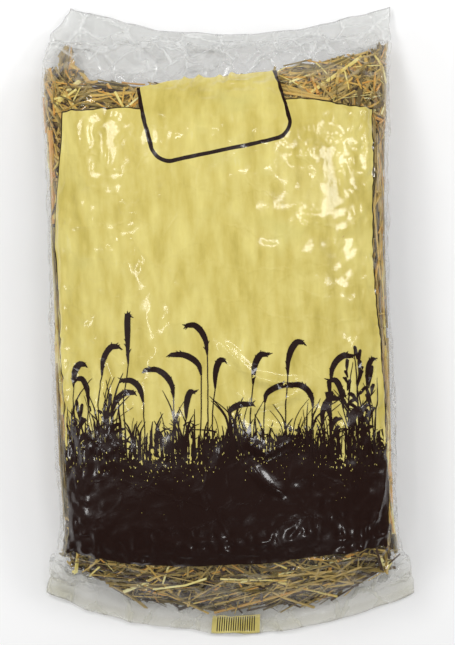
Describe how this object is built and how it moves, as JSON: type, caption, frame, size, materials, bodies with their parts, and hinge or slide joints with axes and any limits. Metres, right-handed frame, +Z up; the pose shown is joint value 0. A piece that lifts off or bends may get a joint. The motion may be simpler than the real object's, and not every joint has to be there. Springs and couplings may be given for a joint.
{
  "type": "bag of loose barley straw",
  "caption": "Clear film bag packed tight with loose barley straw, lying on its back: a printed yellow and brown front, clear creased sides and a flat sealed fin at each end.",
  "frame": {"origin": "on the surface that the bag lies on, under the middle of its box", "axes": "+Z up, out of the printed front; +Y along the bag, towards its top end; +X towards the right side of the printed front"},
  "size_m": [0.341, 0.572, 0.105],
  "materials": {
    "film": "thin clear polythene film, creased, with a printed yellow and dark brown front",
    "packed_straw": "dry barley straw, packed, dull, in yellow, tan and brown",
    "stem": "dry barley stem, golden to tan, waxy along its length",
    "leaf": "dry barley leaf blade, pale, thin and ribbed"
  },
  "bodies": {
    "root": {"film_bag": "film", "packed_straw": "packed_straw", "stem_01": "stem", "stem_02": "stem", "stem_03": "stem", "stem_04": "stem", "stem_05": "stem", "stem_06": "stem", "stem_07": "stem", "stem_08": "stem", "stem_09": "stem", "stem_10": "stem", "stem_11": "stem", "stem_12": "stem", "stem_13": "stem", "stem_14": "stem", "stem_15": "stem", "stem_16": "stem", "stem_17": "stem", "stem_18": "stem", "stem_19": "stem", "stem_20": "stem", "stem_21": "stem", "stem_22": "stem", "stem_23": "stem", "stem_24": "stem", "stem_25": "stem", "stem_26": "stem", "stem_27": "stem", "stem_28": "stem", "stem_29": "stem", "stem_30": "stem", "stem_31": "stem", "stem_32": "stem", "leaf_blade_01": "leaf", "leaf_blade_02": "leaf", "leaf_blade_03": "leaf", "leaf_blade_04": "leaf", "leaf_blade_05": "leaf", "leaf_blade_06": "leaf"}
  },
  "joints": []
}
